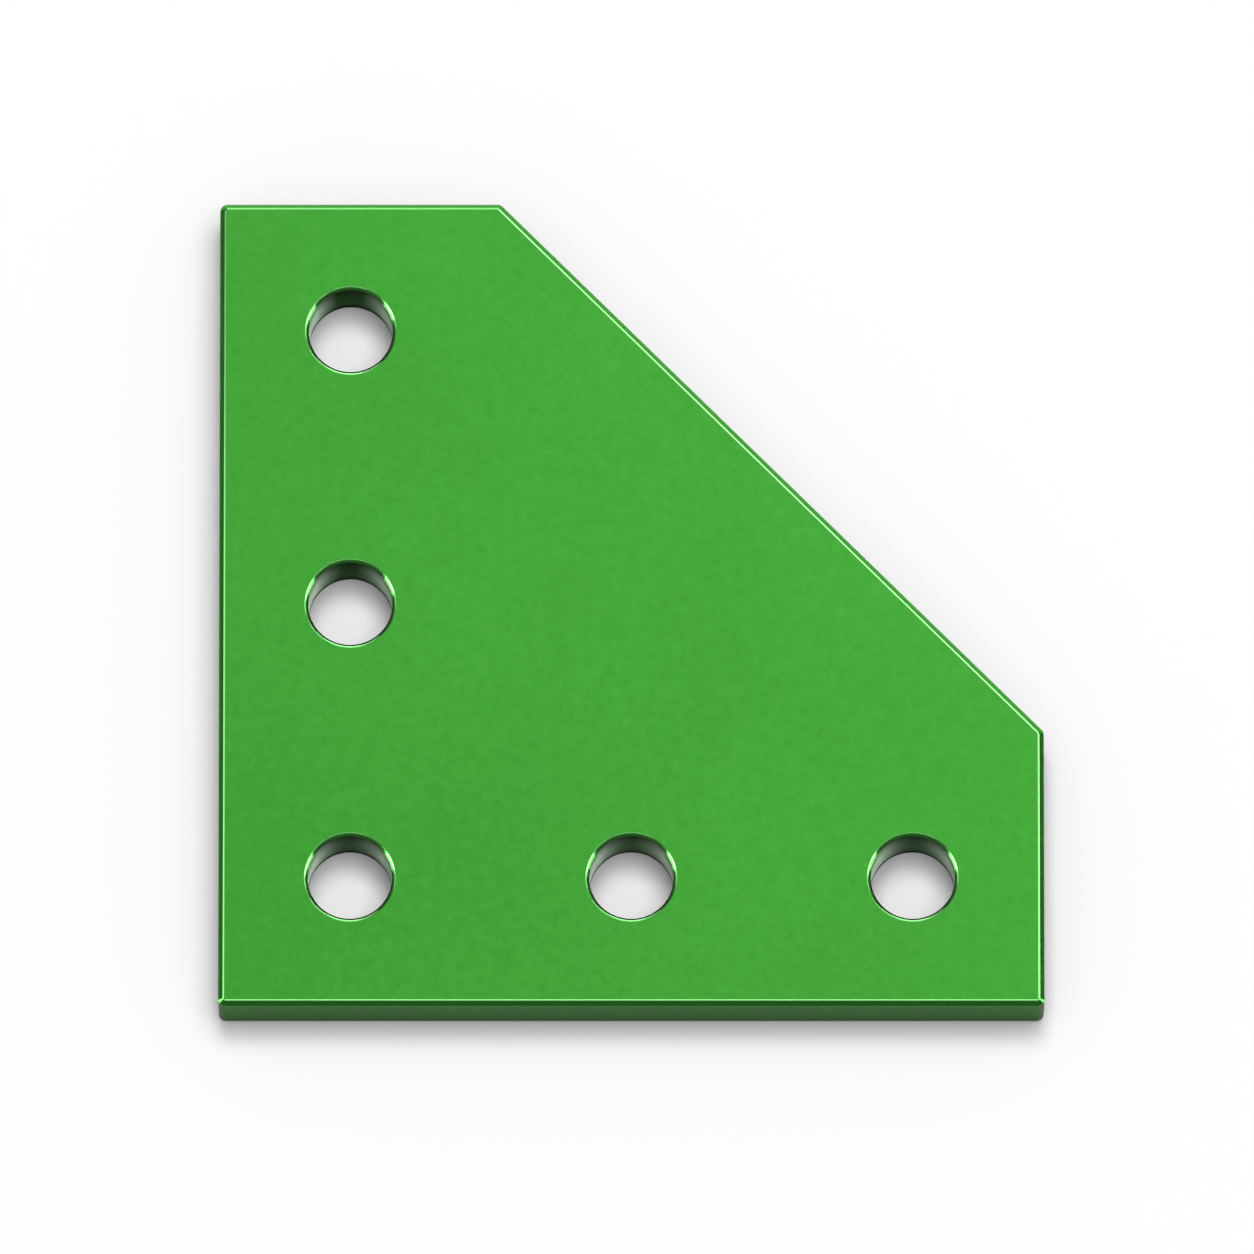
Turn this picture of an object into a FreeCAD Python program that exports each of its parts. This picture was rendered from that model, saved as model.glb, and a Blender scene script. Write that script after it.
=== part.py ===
import FreeCAD, Part

import os
from enum import IntEnum

import Sketcher

# Joining plate for slotted framing bars. One flat aluminium plate with five bolt holes in an L
# bolts an upright bar to a level one at a right angle. The outline is a square with one corner
# cut away at 45 degrees, so two square ends stand out from a slanting edge.
# The frame's origin is on the axis of the corner hole, in the face that lies against the bars.
# X runs along the lower leg, Y along the upright leg and Z out of the plate.

SIZES = [
    ("hole_pitch", 30.0, "centre to centre of two neighbouring holes, which is one bar width"),
    ("holes_per_leg", 3, "holes along each leg, the shared corner hole counted in both"),
    ("edge_margin", 14.0, "hole centre to the plate's outer edges, just inside the bar's side"),
    ("end_width", 30.0, "straight end of each leg, square to the leg"),
    ("plate_thickness", 8.0, "face to face"),
    ("bolt_hole_diameter", 9.0, "clearance for an 8 mm screw"),
    ("edge_chamfer", 0.7, "45 degree bevel round the outline, on both faces"),
    ("face_corner_radius", 0.1, "corner radius that the bevel leaves on the flat face"),
    ("hole_chamfer", 0.4, "45 degree bevel at each mouth of a hole"),
]

SAME_PLACE = 1e-6
FULL_TURN = 360.0

doc = FreeCAD.newDocument("joining_plate")

sheet = doc.addObject("Spreadsheet::Sheet", "sizes")
for row, (alias, value, meaning) in enumerate(SIZES, start=1):
    sheet.set(f"A{row}", alias)
    sheet.set(f"B{row}", str(value))
    sheet.setAlias(f"B{row}", alias)
    sheet.set(f"C{row}", meaning)
doc.recompute()

body = doc.addObject("PartDesign::Body", "plate")
body.Label = "joining_plate"


def datum(role):
    """The body's own origin plane or axis with this role."""
    return next(item for item in body.Origin.OriginFeatures if item.Role == role)


def edge_names(shape, wanted):
    """Names of the shape's edges that the given test accepts."""
    return [f"Edge{number}" for number, edge in enumerate(shape.Edges, start=1) if wanted(edge)]


def stands_upright(edge):
    """True for a straight edge that runs from face to face of the plate."""
    return edge.BoundBox.XLength < SAME_PLACE and edge.BoundBox.YLength < SAME_PLACE


def lies_in_a_face(edge):
    """True for an edge in the plate's lower or upper face."""
    return edge.BoundBox.ZLength < SAME_PLACE


class LinePoint(IntEnum):
    """The sketcher's numbers for the points of a line, and for its own first axis."""

    FIRST_AXIS = -1
    START = 1
    END = 2


SKETCH_ORIGIN = (LinePoint.FIRST_AXIS, LinePoint.START)


def start_of(line):
    """A sketch line's start point, as constraints name it."""
    return line, LinePoint.START


def end_of(line):
    """A sketch line's end point, as constraints name it."""
    return line, LinePoint.END


def closed_outline(sketch, corners):
    """Lines from corner to corner and back to the first, joined at their ends."""
    lines = []
    for corner, next_corner in zip(corners, corners[1:] + corners[:1]):
        lines.append(sketch.addGeometry(Part.LineSegment(corner, next_corner)))
    for line, following in zip(lines, lines[1:] + lines[:1]):
        sketch.addConstraint(Sketcher.Constraint("Coincident", *end_of(line), *start_of(following)))
    return lines


def drive(sketch, name, expression, kind, first, second, value):
    """Hold two points of a sketch apart by a size that the sheet sets."""
    index = sketch.addConstraint(Sketcher.Constraint(kind, *first, *second, value))
    sketch.renameConstraint(index, name)
    sketch.setExpression(f"Constraints.{name}", expression)


# Outline of the plate, in the face that lies against the bars. The two long edges are equal and
# the two straight ends are equal, so the slanting edge between the ends lies at 45 degrees.
margin = float(sheet.edge_margin)
leg_end = (float(sheet.holes_per_leg) - 1) * float(sheet.hole_pitch) + margin
end_top = float(sheet.end_width) - margin

outline = body.newObject("Sketcher::SketchObject", "outline")
outline.AttachmentSupport = (datum("XY_Plane"), [""])
outline.MapMode = "FlatFace"
lower_edge, right_end, _slant, upper_end, left_edge = closed_outline(
    outline,
    [
        FreeCAD.Vector(-margin, -margin, 0),
        FreeCAD.Vector(leg_end, -margin, 0),
        FreeCAD.Vector(leg_end, end_top, 0),
        FreeCAD.Vector(end_top, leg_end, 0),
        FreeCAD.Vector(-margin, leg_end, 0),
    ],
)
outline.addConstraint(Sketcher.Constraint("Horizontal", lower_edge))
outline.addConstraint(Sketcher.Constraint("Vertical", right_end))
outline.addConstraint(Sketcher.Constraint("Horizontal", upper_end))
outline.addConstraint(Sketcher.Constraint("Vertical", left_edge))
outline.addConstraint(Sketcher.Constraint("Equal", lower_edge, left_edge))
outline.addConstraint(Sketcher.Constraint("Equal", right_end, upper_end))
drive(
    outline, "margin_left", "sizes.edge_margin",
    "DistanceX", start_of(lower_edge), SKETCH_ORIGIN, margin,
)
drive(
    outline, "margin_below", "sizes.edge_margin",
    "DistanceY", start_of(lower_edge), SKETCH_ORIGIN, margin,
)
drive(
    outline, "leg_length", "(sizes.holes_per_leg - 1) * sizes.hole_pitch + 2 * sizes.edge_margin",
    "DistanceX", start_of(lower_edge), end_of(lower_edge), leg_end + margin,
)
drive(
    outline, "straight_end", "sizes.end_width",
    "DistanceY", start_of(right_end), end_of(right_end), end_top + margin,
)

slab = body.newObject("PartDesign::Pad", "slab")
slab.Profile = outline
slab.setExpression("Length", "sizes.plate_thickness")
doc.recompute()

# The five corners of the outline are rounded before the bevel is cut. The bevel takes its own
# width off the radius, so the flat face keeps corners that are almost sharp.
rounded = body.newObject("PartDesign::Fillet", "rounded_corners")
rounded.Base = (slab, edge_names(slab.Shape, stands_upright))
rounded.setExpression("Radius", "sizes.edge_chamfer + sizes.face_corner_radius")
doc.recompute()

bevelled = body.newObject("PartDesign::Chamfer", "bevelled_edges")
bevelled.Base = (rounded, edge_names(rounded.Shape, lies_in_a_face))
bevelled.setExpression("Size", "sizes.edge_chamfer")
doc.recompute()

# One bolt hole with the bevel of both its mouths, as a profile turned about the corner hole's
# axis. In the sketch, the first direction is the distance from that axis and the second height.
bore = float(sheet.bolt_hole_diameter) / 2
bevel = float(sheet.hole_chamfer)
top = float(sheet.plate_thickness)

hole_profile = body.newObject("Sketcher::SketchObject", "hole_profile")
hole_profile.AttachmentSupport = (datum("XZ_Plane"), [""])
hole_profile.MapMode = "FlatFace"
foot, lower_bevel, wall, upper_bevel, head, axis_line = closed_outline(
    hole_profile,
    [
        FreeCAD.Vector(0, 0, 0),
        FreeCAD.Vector(bore + bevel, 0, 0),
        FreeCAD.Vector(bore, bevel, 0),
        FreeCAD.Vector(bore, top - bevel, 0),
        FreeCAD.Vector(bore + bevel, top, 0),
        FreeCAD.Vector(0, top, 0),
    ],
)
hole_profile.addConstraint(Sketcher.Constraint("Coincident", *start_of(foot), *SKETCH_ORIGIN))
hole_profile.addConstraint(Sketcher.Constraint("Horizontal", foot))
hole_profile.addConstraint(Sketcher.Constraint("Vertical", wall))
hole_profile.addConstraint(Sketcher.Constraint("Horizontal", head))
hole_profile.addConstraint(Sketcher.Constraint("Vertical", axis_line))
hole_profile.addConstraint(Sketcher.Constraint("Equal", foot, head))
drive(
    hole_profile, "bore_radius", "sizes.bolt_hole_diameter / 2",
    "DistanceX", SKETCH_ORIGIN, start_of(wall), bore,
)
drive(
    hole_profile, "hole_depth", "sizes.plate_thickness",
    "DistanceY", SKETCH_ORIGIN, end_of(head), top,
)
drive(
    hole_profile, "bevel_width", "sizes.hole_chamfer",
    "DistanceX", end_of(lower_bevel), start_of(lower_bevel), bevel,
)
drive(
    hole_profile, "lower_bevel_height", "sizes.hole_chamfer",
    "DistanceY", start_of(lower_bevel), end_of(lower_bevel), bevel,
)
drive(
    hole_profile, "upper_bevel_height", "sizes.hole_chamfer",
    "DistanceY", start_of(upper_bevel), end_of(upper_bevel), bevel,
)

corner_hole = body.newObject("PartDesign::Groove", "corner_hole")
corner_hole.Profile = hole_profile
corner_hole.ReferenceAxis = (hole_profile, ["V_Axis"])
corner_hole.Angle = FULL_TURN
doc.recompute()


def repeat_hole(name, axis):
    """A row of holes from the corner hole along one of the body's axes, a hole pitch apart."""
    pattern = body.newObject("PartDesign::LinearPattern", name)
    pattern.Originals = [corner_hole]
    pattern.Direction = (datum(axis), [""])
    pattern.Mode = "Spacing"
    pattern.setExpression("Offset", "sizes.hole_pitch")
    pattern.setExpression("Occurrences", "sizes.holes_per_leg")
    body.Tip = pattern
    doc.recompute()
    return pattern


lower_leg_holes = repeat_hole("lower_leg_holes", "X_Axis")
upright_leg_holes = repeat_hole("upright_leg_holes", "Y_Axis")
doc.recompute()

# Nothing is written unless every step worked, both sketches are held by their sizes alone and
# each cut took metal away.
for item in doc.Objects:
    if {"Invalid", "Error"} & set(item.State):
        raise RuntimeError(f"{item.Name} did not build: {item.State}")
for sketch in (outline, hole_profile):
    if not sketch.FullyConstrained:
        raise RuntimeError(f"{sketch.Name} is free to move")
steps = [slab, rounded, bevelled, corner_hole, lower_leg_holes, upright_leg_holes]
for before, after in zip(steps, steps[1:]):
    if not after.Shape.Volume < before.Shape.Volume:
        raise RuntimeError(f"{after.Name} takes nothing away")

if body.Shape.isNull() or not body.Shape.isValid():
    raise RuntimeError(f"{body.Label} has no valid shape")

os.makedirs("parts", exist_ok=True)
body.Shape.exportStep(f"parts/{body.Label}.step")
print(f"{body.Label}: {len(body.Shape.Solids)} solid, {body.Shape.Volume:.1f} cubic mm")
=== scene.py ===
import math

import bpy
import numpy as np
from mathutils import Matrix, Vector
from mathutils.geometry import delaunay_2d_cdt


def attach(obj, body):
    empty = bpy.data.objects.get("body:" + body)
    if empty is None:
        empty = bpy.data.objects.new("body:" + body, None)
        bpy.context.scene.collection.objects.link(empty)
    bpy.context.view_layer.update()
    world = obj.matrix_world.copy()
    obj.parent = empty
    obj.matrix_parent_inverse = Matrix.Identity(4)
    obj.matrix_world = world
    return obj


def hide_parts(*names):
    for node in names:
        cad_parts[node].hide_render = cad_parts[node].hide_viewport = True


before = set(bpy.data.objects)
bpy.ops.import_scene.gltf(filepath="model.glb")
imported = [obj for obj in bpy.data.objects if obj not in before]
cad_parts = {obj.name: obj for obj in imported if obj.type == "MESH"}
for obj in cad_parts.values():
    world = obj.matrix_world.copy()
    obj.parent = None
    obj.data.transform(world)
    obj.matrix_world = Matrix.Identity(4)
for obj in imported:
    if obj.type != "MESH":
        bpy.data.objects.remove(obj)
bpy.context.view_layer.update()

# The joining plate: one piece of flat aluminium, milled round its outline, drilled with five bolt
# holes in an L, bevelled all round and at the holes, then anodised and dyed green. It lies loose.
# Sizes are in millimetres, and the mesh is in metres.
MM = 0.001
HOLE_PITCH = 30.0
EDGE_MARGIN = 14.0
END_WIDTH = 30.0
THICKNESS = 8.0
HOLE_RADIUS = 4.5
CORNER_RADIUS = 0.8
LEG_END = 2 * HOLE_PITCH + EDGE_MARGIN
END_TOP = END_WIDTH - EDGE_MARGIN

OUTLINE = np.array([
    (-EDGE_MARGIN, -EDGE_MARGIN),
    (LEG_END, -EDGE_MARGIN),
    (LEG_END, END_TOP),
    (END_TOP, LEG_END),
    (-EDGE_MARGIN, LEG_END),
])
HOLES = HOLE_PITCH * np.array([(0, 0), (1, 0), (2, 0), (0, 1), (0, 2)])

# Stations along a bevel, from the flat face to the upright wall: way along the section, and tilt
# in degrees against the flat face. A rounded shoulder of 16 to 30 degrees comes first and catches
# the light. The cut bevel below it lies at 41 to 48 degrees and ends in a small radius.
OUTLINE_BEVEL = [(0.0, 0), (0.05, 16), (0.21, 23), (0.24, 30), (0.28, 41), (0.82, 44), (0.88, 90)]
HOLE_BEVEL = [(0.0, 0), (0.03, 16), (0.06, 24), (0.21, 30), (0.24, 42), (0.47, 48), (0.52, 90)]

# Steps of the grid: between two stations, round a corner of the outline, and round a hole.
BEVEL_STEPS = 6
CORNER_STEPS = 14
HOLE_STEPS = 144

# The finishes, numbered in the order in which their materials are made below.
FACE, SHOULDER, BEVEL, SIDE, BORE = range(5)


def edge_section(stations):
    """The edge of the plate in section, from the upper face round to the lower one.

    Along the section the tilt grows in straight ramps from station to station. The way outwards is
    the running sum of cos(tilt), and the way down that of sin(tilt). The lower half is the upper
    one mirrored. Returns inset from the wall, height and tilt."""
    rows = np.linspace(0, len(stations) - 1, (len(stations) - 1) * BEVEL_STEPS + 1)
    along, tilt = (np.interp(rows, range(len(stations)), values) for values in zip(*stations))
    tilt = np.radians(tilt)
    step = np.diff(along)
    middle = (tilt[1:] + tilt[:-1]) / 2
    out = np.concatenate([[0], np.cumsum(np.cos(middle) * step)])
    down = np.concatenate([[0], np.cumsum(np.sin(middle) * step)])
    inset = out[-1] - out
    return (
        np.concatenate([inset, inset[::-1]]),
        np.concatenate([THICKNESS - down, down[::-1]]),
        np.concatenate([tilt, np.pi - tilt[::-1]]),
    )


def rounded_outline():
    """The plate's outer line, anticlockwise, with each corner an arc.

    The arc's centre lies a radius inside both sides that meet at the corner, and a point on it is
    centre + radius x facing, as facing turns from one side's to the next one's. Returns the points
    and their facings."""
    side = np.roll(OUTLINE, -1, axis=0) - OUTLINE
    side_angle = np.arctan2(-side[:, 0], side[:, 1])
    before = np.roll(side_angle, 1)
    turn = (side_angle - before) % (2 * np.pi)
    both = np.stack([
        np.stack([np.cos(before), np.sin(before)], axis=1),
        np.stack([np.cos(side_angle), np.sin(side_angle)], axis=1),
    ], axis=1)
    reach = np.einsum("kij,kj->ki", both, OUTLINE) - CORNER_RADIUS
    centre = np.linalg.solve(both, reach[:, :, None])[:, :, 0]
    angle = before[:, None] + turn[:, None] * np.linspace(0, 1, CORNER_STEPS + 1)
    facing = np.stack([np.cos(angle), np.sin(angle)], axis=2)
    return (centre[:, None] + CORNER_RADIUS * facing).reshape(-1, 2), facing.reshape(-1, 2)


def hole_line(centre):
    """A hole's wall in the plan, clockwise: centre - radius x facing, which points to its axis."""
    angle = np.linspace(0, -2 * np.pi, HOLE_STEPS, endpoint=False)
    facing = -np.stack([np.cos(angle), np.sin(angle)], axis=1)
    return centre - HOLE_RADIUS * facing, facing


def swept_edge(line, facing, section):
    """The surface that the edge section sweeps along a closed line in the plan.

    Point (i, j) is line i - inset j x facing i, at height j. Its normal is
    facing i x sin(tilt j) + up x cos(tilt j). The pattern map has the way round and the way down.
    Returns points, normals, quads and the pattern map at the corners of the quads."""
    inset, height, tilt = section
    plan = line[:, None] - inset[:, None] * facing[:, None]
    points = np.dstack([plan, np.broadcast_to(height, plan.shape[:2])])
    normals = np.dstack([
        facing[:, None] * np.sin(tilt)[:, None],
        np.broadcast_to(np.cos(tilt), plan.shape[:2]),
    ])
    across, down = len(line), len(inset)
    i, j = np.meshgrid(np.arange(across), np.arange(down - 1), indexing="ij")
    here, after = i * down + j, (i + 1) % across * down + j
    quads = np.stack([here + 1, after + 1, after, here], axis=2)
    round_way = np.cumsum(np.linalg.norm(np.roll(line, -1, axis=0) - line, axis=1))
    round_way = np.concatenate([[0], round_way])
    down_way = np.concatenate([[0], np.cumsum(np.hypot(np.diff(inset), np.diff(height)))])
    pattern = np.stack([
        np.stack([round_way[i], down_way[j + 1]], axis=2),
        np.stack([round_way[i + 1], down_way[j + 1]], axis=2),
        np.stack([round_way[i + 1], down_way[j]], axis=2),
        np.stack([round_way[i], down_way[j]], axis=2),
    ], axis=2)
    return (
        points.reshape(-1, 3),
        normals.reshape(-1, 3),
        quads.reshape(-1, 4),
        pattern.reshape(-1, 2),
    )


# The search for triangles keeps all that it finds, and takes points closer than this, in
# millimetres, as one. A triangle with less than this area, in square millimetres, is left out.
KEEP_ALL = 0
SAME_POINT = 1e-7
NO_AREA = 1e-9


def flat_between(loops, points):
    """Triangles, facing up, that fill the plan between the outer loop and the hole loops.

    The outline has no hollow, and a triangle with all three corners on one hole lies in it."""
    plan = points[np.concatenate(loops)][:, :2]
    loop_of = np.repeat(np.arange(len(loops)), [len(loop) for loop in loops])
    starts = np.cumsum([0] + [len(loop) for loop in loops[:-1]])
    rims = [
        (int(start + k), int(start + (k + 1) % len(loop)))
        for start, loop in zip(starts, loops)
        for k in range(len(loop))
    ]
    spots = [Vector(spot) for spot in plan]
    found = delaunay_2d_cdt(spots, rims, [], KEEP_ALL, SAME_POINT, True)
    triangles, came_from = found[2], found[3]
    corners = np.array([origins[0] for origins in came_from])[np.array(triangles)]
    on_loop = loop_of[corners]
    in_hole = (on_loop[:, 0] > 0) & (on_loop == on_loop[:, :1]).all(axis=1)
    corners = corners[~in_hole]
    a, b, c = plan[corners].transpose(1, 0, 2)
    area = (b - a)[:, 0] * (c - a)[:, 1] - (b - a)[:, 1] * (c - a)[:, 0]
    corners = np.where(area[:, None] < 0, corners[:, ::-1], corners)
    return np.concatenate(loops)[corners[np.abs(area) > NO_AREA]]


# Lean from upright, in degrees, below which a strip of an edge is wall, and below which it is cut
# bevel. What leans more is shoulder.
WALL_LEAN = 30
BEVEL_LEAN = 55


def zones(section, places, wall):
    """The finish of each strip of a swept edge, by its lean, repeated for each place round it."""
    tilt = np.degrees(section[2])
    lean = np.abs((tilt[1:] + tilt[:-1]) / 2 - 90)
    strips = np.select([lean < WALL_LEAN, lean < BEVEL_LEAN], [wall, BEVEL], SHOULDER)
    return np.tile(strips, places)


outline_section = edge_section(OUTLINE_BEVEL)
hole_section = edge_section(HOLE_BEVEL)
edges = [(*rounded_outline(), outline_section, SIDE)]
edges += [(*hole_line(centre), hole_section, BORE) for centre in HOLES]

points, normals, quads, pattern, finish, tops, bottoms = [], [], [], [], [], [], []
first = 0
for line, facing, section, wall in edges:
    edge_points, edge_normals, edge_quads, edge_pattern = swept_edge(line, facing, section)
    points.append(edge_points)
    normals.append(edge_normals)
    quads.append(edge_quads + first)
    pattern.append(edge_pattern)
    finish.append(zones(section, len(line), wall))
    rows = len(section[0])
    tops.append(first + rows * np.arange(len(line)))
    bottoms.append(tops[-1] + rows - 1)
    first += len(edge_points)
points = np.concatenate(points)
normals = np.concatenate(normals)
quads = np.concatenate(quads)
upper = flat_between(tops, points)
lower = flat_between(bottoms, points)[:, ::-1]
flats = np.concatenate([upper, lower])
pattern = np.concatenate(pattern + [points[flats.ravel()][:, :2]])
finish = np.concatenate(finish + [np.full(len(flats), FACE)])

mesh = bpy.data.meshes.new("machined_plate")
mesh.from_pydata((points * MM).tolist(), [], quads.tolist() + flats.tolist())
mesh.polygons.foreach_set("use_smooth", np.ones(len(finish), bool))
mesh.polygons.foreach_set("material_index", finish.astype(np.int32))
machining = mesh.uv_layers.new(name="machining")
machining.uv.foreach_set("vector", (pattern * MM).astype(np.float32).ravel())
mesh.normals_split_custom_set_from_vertices(normals.tolist())
plate = bpy.data.objects.new("machined_plate", mesh)
bpy.context.scene.collection.objects.link(plate)


def surface(name, metal, roughness, **sockets):
    """A new metal finish for the plate, with the values that are the same all over it.

    Returns its node tree and its shader."""
    made = bpy.data.materials.new(name)
    made.use_nodes = True
    shader = made.node_tree.nodes["Principled BSDF"]
    shader.inputs["Base Color"].default_value = (*metal, 1)
    shader.inputs["Metallic"].default_value = 1
    shader.inputs["Roughness"].default_value = roughness
    for socket, value in sockets.items():
        shader.inputs[socket.replace("_", " ")].default_value = value
    mesh.materials.append(made)
    return made.node_tree, shader


def feed(tree, socket, source):
    """Join a socket to another node's output, or set it to a value."""
    if isinstance(source, bpy.types.NodeSocket):
        tree.links.new(source, socket)
    else:
        socket.default_value = source


def node(tree, kind, inputs=(), **settings):
    """A node with its settings, and with its inputs joined or set."""
    made = tree.nodes.new(kind)
    for name, value in settings.items():
        setattr(made, name, value)
    for socket, source in dict(inputs).items():
        feed(tree, made.inputs[socket], source)
    return made


def place(tree, stretch=(1, 1, 1), of="Object"):
    """Where a point lies: on the object itself, or on the machining map, stretched by axis."""
    where = node(tree, "ShaderNodeTexCoord").outputs[of]
    return node(tree, "ShaderNodeMapping", {"Vector": where, "Scale": stretch}).outputs["Vector"]


def noise(tree, where, size, detail=2.0, roughness=0.5):
    """Cloudy noise with lumps of the given size in millimetres, from 0 to 1."""
    return node(
        tree, "ShaderNodeTexNoise",
        {"Vector": where, "Scale": 1 / (size * MM), "Detail": detail, "Roughness": roughness},
    ).outputs["Fac"]


def spread(tree, value, low, high, start=0.3, end=0.7):
    """A pattern that goes from low to high as the value goes from start to end."""
    return node(
        tree, "ShaderNodeMapRange",
        {"Value": value, "From Min": start, "From Max": end, "To Min": low, "To Max": high},
    ).outputs["Result"]


def times(tree, first_value, second_value):
    """The product of two patterns."""
    product = node(tree, "ShaderNodeMath", {0: first_value, 1: second_value}, operation="MULTIPLY")
    return product.outputs[0]


def mixed(tree, share, first_colour, second_colour):
    """A colour that goes from the first to the second as the share goes from 0 to 1."""
    mix = node(tree, "ShaderNodeMix", data_type="RGBA")
    inputs = [socket for socket in mix.inputs if socket.enabled]
    for socket, source in zip(inputs, (share, first_colour, second_colour)):
        feed(tree, socket, source)
    return next(socket for socket in mix.outputs if socket.enabled)


def shaded(tree, metal, *patterns):
    """The metal, a colour or a node's output, times every one of the patterns."""
    tone = patterns[0]
    for pattern_of_tone in patterns[1:]:
        tone = times(tree, tone, pattern_of_tone)
    scaled = node(tree, "ShaderNodeVectorMath", {0: metal, "Scale": tone}, operation="SCALE")
    return scaled.outputs["Vector"]


def relief(tree, height, depth):
    """The normal of a surface that a pattern of height raises by up to depth in millimetres."""
    bump = node(tree, "ShaderNodeBump", {"Height": height, "Distance": depth * MM, "Strength": 1.0})
    return bump.outputs["Normal"]


# Faces: matt satin from the etch before anodising, with a fine grain. The dye has taken a little
# unevenly, so it is mottled from millimetre to millimetre, faintly cloudy over centimetres, and
# has a few pin-prick specks.
DYED = (0.060, 0.371, 0.0435)
STRONG_DYE = (0.0504, 0.343, 0.0353)
WEAK_DYE = (0.0696, 0.399, 0.0517)
tree, shader = surface("satin_face", DYED, 0.40)
where = place(tree)
cloud = spread(tree, noise(tree, where, 26.0), 0.97, 1.03)
grain = noise(tree, where, 0.22, detail=3.0, roughness=0.6)
mottle = spread(tree, noise(tree, where, 1.1, detail=4.0, roughness=0.85), 0.0, 1.0)
specks = spread(tree, noise(tree, where, 0.5, detail=1.0), 1.0, 0.88, start=0.72, end=0.80)
sheen = spread(tree, noise(tree, where, 0.9, detail=3.0), 0.36, 0.44)
dye = mixed(tree, mottle, (*STRONG_DYE, 1), (*WEAK_DYE, 1))
feed(tree, shader.inputs["Base Color"], shaded(tree, dye, cloud, specks))
feed(tree, shader.inputs["Roughness"], sheen)
feed(tree, shader.inputs["Normal"], relief(tree, grain, 0.004))

# Bevels: cut by a sharp chamfer mill and countersink, so they are smoother than the faces. The
# shoulder above each one is buffed and has a clear, hard skin.
CLEAR_SKIN = {"Coat_Weight": 1.0, "Coat_Roughness": 0.12, "Coat_IOR": 1.8}
for name, skin in [("buffed_shoulder", CLEAR_SKIN), ("cut_bevel", {})]:
    tree, shader = surface(name, DYED, 0.17, **skin)
    along = place(tree, (1, 12, 1), "UV")
    drag = noise(tree, along, 3.0, detail=3.0)
    feed(tree, shader.inputs["Base Color"], shaded(tree, DYED, spread(tree, drag, 0.94, 1.06)))
    feed(tree, shader.inputs["Roughness"], spread(tree, drag, 0.14, 0.20))
    feed(tree, shader.inputs["Normal"], relief(tree, noise(tree, along, 1.0), 0.0006))

# Sides: milled along the edge, with faint upright cutter marks. A dark gloss keeps them from
# shining at a glancing angle.
SIDE_GLOSS = (0.48, 0.19, 0.48)
tree, shader = surface("milled_side", DYED, 0.34, Specular_Tint=(*SIDE_GLOSS, 1))
along = place(tree, (9, 1, 1), "UV")
marks = noise(tree, along, 2.4, detail=3.0, roughness=0.6)
feed(tree, shader.inputs["Base Color"], shaded(tree, DYED, spread(tree, marks, 0.92, 1.08)))
feed(tree, shader.inputs["Roughness"], spread(tree, marks, 0.30, 0.38))
feed(tree, shader.inputs["Normal"], relief(tree, marks, 0.002))

# Bores: drilled and reamed, with fine rings round the wall. The dye is thinner than on the faces.
# The wall is darkened towards the mouth as painted shade, and a dark line round its foot is a
# painted shadow. At a glancing angle the wall shines like silver; that shine is painted stronger on
# the left and weaker towards the mouth as painted light and shade, and is left out at the foot.
THIN_DYE = (0.060, 0.200, 0.050)
DARK_GLOSS = (0.32, 0.19, 0.33)
PALE_GLOSS = (0.80, 1.0, 0.80)
SILVER = (0.82, 1.0, 0.82)
HALF_ROUND = math.pi * HOLE_RADIUS * MM
SHADED_SIDE_SHINE = 0.55

# Stretches of height over which the painted shadow at the foot ends, the painted shade towards the
# mouth deepens and the shine fades as painted shade, and the stretch of the viewing angle, as the
# Facing output of
# Layer Weight, over which it sets in.
FOOT_SHADOW_HEIGHTS = (0.8 * MM, 1.1 * MM)
SHADE_DEEPENS = (3.0 * MM, 7.6 * MM)
SHINE_FADES_IN_SHADE = (4.5 * MM, THICKNESS * MM)
SETS_IN = (0.768, 0.855)

tree, shader = surface("drilled_bore", THIN_DYE, 0.36)
rings = noise(tree, place(tree, (0.3, 8, 1), "UV"), 1.6, detail=3.0, roughness=0.6)
level = node(tree, "ShaderNodeSeparateXYZ", {0: place(tree)}).outputs["Z"]
# Painted shadow: the wall is darker in a line round its foot.
foot_shadow = spread(tree, level, 0.25, 1.0, *FOOT_SHADOW_HEIGHTS)
# Painted shade: the wall grows darker towards the mouth.
mouth_shade = spread(tree, level, 1.05, 0.60, *SHADE_DEEPENS)
dye_and_painted_shade = shaded(tree, THIN_DYE, spread(tree, rings, 0.92, 1.08), foot_shadow, mouth_shade)
glance = node(tree, "ShaderNodeLayerWeight", {"Blend": 0.5}).outputs["Facing"]
glancing_and_painted_shine = spread(tree, glance, 0.0, 1.0, *SETS_IN)
# Painted shade: the shine fades towards the mouth and is left out at the foot.
glancing_and_painted_shine = times(tree, glancing_and_painted_shine, spread(tree, level, 1.0, 0.35, *SHINE_FADES_IN_SHADE))
glancing_and_painted_shine = times(tree, glancing_and_painted_shine, spread(tree, level, 0.0, 1.0, *FOOT_SHADOW_HEIGHTS))
# Painted light: the shine is strongest on the left of each bore and weakest on the right.
way_round = node(tree, "ShaderNodeSeparateXYZ", {0: place(tree, of="UV")}).outputs["X"]
glancing_and_painted_shine = times(tree, glancing_and_painted_shine, spread(tree, way_round, SHADED_SIDE_SHINE, 1.0, 0.0, HALF_ROUND))
glancing_and_painted_shine = times(tree, glancing_and_painted_shine, spread(tree, way_round, 1.0, SHADED_SIDE_SHINE, HALF_ROUND, 2 * HALF_ROUND))
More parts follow.
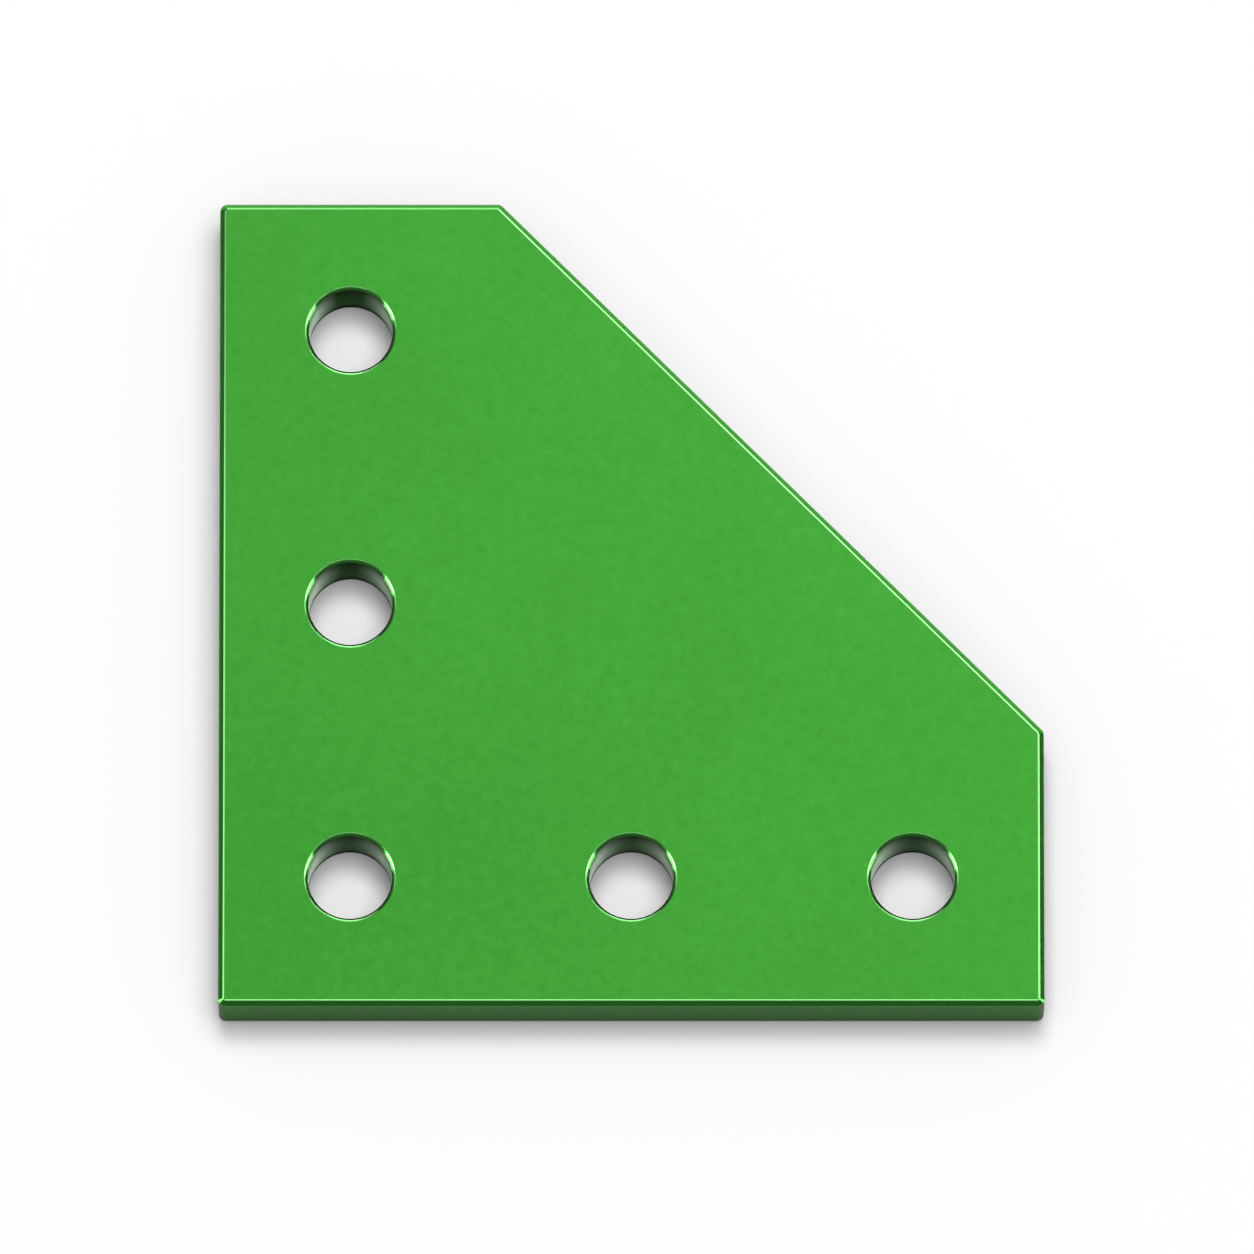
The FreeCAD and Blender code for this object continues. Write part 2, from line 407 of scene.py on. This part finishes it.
# The gloss tint and the colour follow the shine, its painted light and shade included.
tint_and_painted_light = mixed(tree, glancing_and_painted_shine, (*DARK_GLOSS, 1), (*PALE_GLOSS, 1))
feed(tree, shader.inputs["Base Color"], mixed(tree, glancing_and_painted_shine, dye_and_painted_shade, (*SILVER, 1)))
feed(tree, shader.inputs["Specular Tint"], tint_and_painted_light)
feed(tree, shader.inputs["Roughness"], spread(tree, rings, 0.32, 0.40))
feed(tree, shader.inputs["Normal"], relief(tree, rings, 0.0015))

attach(plate, "root")
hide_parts("joining_plate")

# The ground: a large studio table that the plate lies on, covered with matt white paper. From here
# on lengths are in metres.
TABLE_SIZE = 4.0
WHITE = (0.97, 0.97, 0.97)
corners = TABLE_SIZE / 2 * np.array([(-1, -1, 0), (1, -1, 0), (1, 1, 0), (-1, 1, 0)])
table_mesh = bpy.data.meshes.new("table")
table_mesh.from_pydata(corners.tolist(), [], [(0, 1, 2, 3)])
table = bpy.data.objects.new("table", table_mesh)
bpy.context.scene.collection.objects.link(table)
paper = bpy.data.materials.new("white_paper")
paper.use_nodes = True
shader = paper.node_tree.nodes["Principled BSDF"]
shader.inputs["Base Color"].default_value = (*WHITE, 1)
shader.inputs["Roughness"].default_value = 1.0
shader.inputs["Specular IOR Level"].default_value = 0.0
table_mesh.materials.append(paper)

# The lamps: soft rectangles, which only the metal shows, each for one reflection in it. Two round
# ones high above light the table alone.
PLATE_MIDDLE = Vector((0.030, 0.030, 0.004))


def lamp(name, azimuth, elevation, distance, width, height, radiance):
    """A soft rectangular lamp that faces the plate, at an azimuth (0 along +X, 90 along +Y).

    Its power is radiance x pi x its area."""
    a, e = math.radians(azimuth), math.radians(elevation)
    towards = Vector((math.cos(a) * math.cos(e), math.sin(a) * math.cos(e), math.sin(e)))
    made = bpy.data.lights.new(name, "AREA")
    made.shape = "RECTANGLE"
    made.size, made.size_y = width, height
    made.energy = radiance * math.pi * width * height
    holder = bpy.data.objects.new(name, made)
    holder.location = PLATE_MIDDLE + towards * distance
    holder.rotation_mode = "QUATERNION"
    holder.rotation_quaternion = towards.to_track_quat("Z", "Y")
    holder.visible_camera = False
    holder.visible_diffuse = False
    bpy.context.scene.collection.objects.link(holder)
    return holder


# The sheen on the face.
lamp("sheet_overhead", 55, 59, 0.50, 0.52, 0.37, 0.73)

# The bright line along each side of the outline, and round its near right corner.
lamp("strip_right", 21, 49.5, 1.0, 0.28, 0.32, 3.1)
lamp("strip_far", 90, 37.5, 1.0, 0.50, 0.245, 1.9)
lamp("strip_near", 270, 66, 1.0, 0.60, 0.20, 2.5)
lamp("strip_diagonal", 57, 42, 1.0, 0.28, 0.21, 5.4)
lamp("strip_left", 175.5, 46.8, 0.378, 0.17, 0.14, 1.4)
lamp("strip_left_wide", 159.5, 49.5, 1.0, 0.32, 0.32, 0.82)
lamp("strip_corner", -27, 58, 1.0, 0.42, 0.25, 1.5)

# The near part of each hole's ring, then the glints on the left and right of the rings.
lamp("low_far", 85, 22.5, 1.0, 0.60, 0.24, 1.8)
lamp("low_far_wide", 88, 22.5, 1.0, 1.25, 0.24, 1.6)
lamp("low_left", 188.5, 40, 1.0, 0.36, 0.245, 8.0)
lamp("low_right", -4, 40, 1.0, 0.42, 0.245, 7.0)
lamp("floor_left", 192, 8, 1.0, 0.42, 0.20, 8.0)
lamp("floor_right", -11, 8, 1.0, 0.38, 0.20, 6.5)

# The table's soft shadows: for each round lamp its azimuth, its elevation, half the angle that it
# fills and its radiance.
TABLE_LAMP_DISTANCE = 3.0
CIRCLE_IN_SQUARE = math.pi / 4
for name, azimuth, elevation, half_angle, radiance in [
    ("table_lamp", 9.3, 84.48, 17.5, 5.07),
    ("table_lamp_far", 91.7, 73.07, 8.9, 10.8),
]:
    across = 2 * TABLE_LAMP_DISTANCE * math.tan(math.radians(half_angle))
    radiance *= CIRCLE_IN_SQUARE
    holder = lamp(name, azimuth, elevation, TABLE_LAMP_DISTANCE, across, across, radiance)
    holder.data.shape = "ELLIPSE"
    holder.visible_diffuse = True
    holder.visible_glossy = False

# The table takes light straight from the lamps and the room, and none that comes off the plate.
# That keeps the plate's green off it.
bpy.context.scene.cycles.diffuse_bounces = 0

# The room: white, dim low down and brighter above, with a smooth rise between two elevations in
# degrees. It lights both the table and the metal.
ROOM_RISES = (45, 70)
DIM = 0.22
BRIGHT = 0.56
world = bpy.data.worlds.new("room")
bpy.context.scene.world = world
world.use_nodes = True
room = world.node_tree
direction = node(room, "ShaderNodeTexCoord").outputs["Generated"]
steepness = node(room, "ShaderNodeSeparateXYZ", {0: direction}).outputs["Z"]
low, high = (math.sin(math.radians(elevation)) for elevation in ROOM_RISES)
strength = node(
    room, "ShaderNodeMapRange",
    {"Value": steepness, "From Min": low, "From Max": high, "To Min": DIM, "To Max": BRIGHT},
    interpolation_type="SMOOTHSTEP",
).outputs["Result"]
feed(room, room.nodes["Background"].inputs["Strength"], strength)
feed(room, room.nodes["Background"].inputs["Color"], (1, 1, 1, 1))

# The camera: a long lens, 13.5 degrees from straight above and in front of the plate. It aims a
# little to the left of the plate's middle and a little below it. Lens and sensor are in
# millimetres.
LENS = 1000.0
SENSOR = 36.0
FRAME_WIDTH = 0.134
CAMERA_ELEVATION = 76.5
AIM_LEFT = 0.00046
AIM_BELOW = 0.0016
camera = bpy.data.cameras.new("camera")
camera.lens = LENS
camera.sensor_width = SENSOR
camera.clip_start, camera.clip_end = 0.05, 20.0
eye = bpy.data.objects.new("camera", camera)
tilt = math.radians(CAMERA_ELEVATION)
back = Vector((0, -math.cos(tilt), math.sin(tilt)))
up = Vector((0, math.sin(tilt), math.cos(tilt)))
aim = PLATE_MIDDLE + Vector((-AIM_LEFT, 0, 0)) - AIM_BELOW * up
eye.location = aim + back * (FRAME_WIDTH * LENS / SENSOR)
eye.rotation_mode = "QUATERNION"
eye.rotation_quaternion = back.to_track_quat("Z", "Y")
bpy.context.scene.collection.objects.link(eye)
bpy.context.scene.camera = eye
bpy.context.scene.view_settings.view_transform = "Standard"
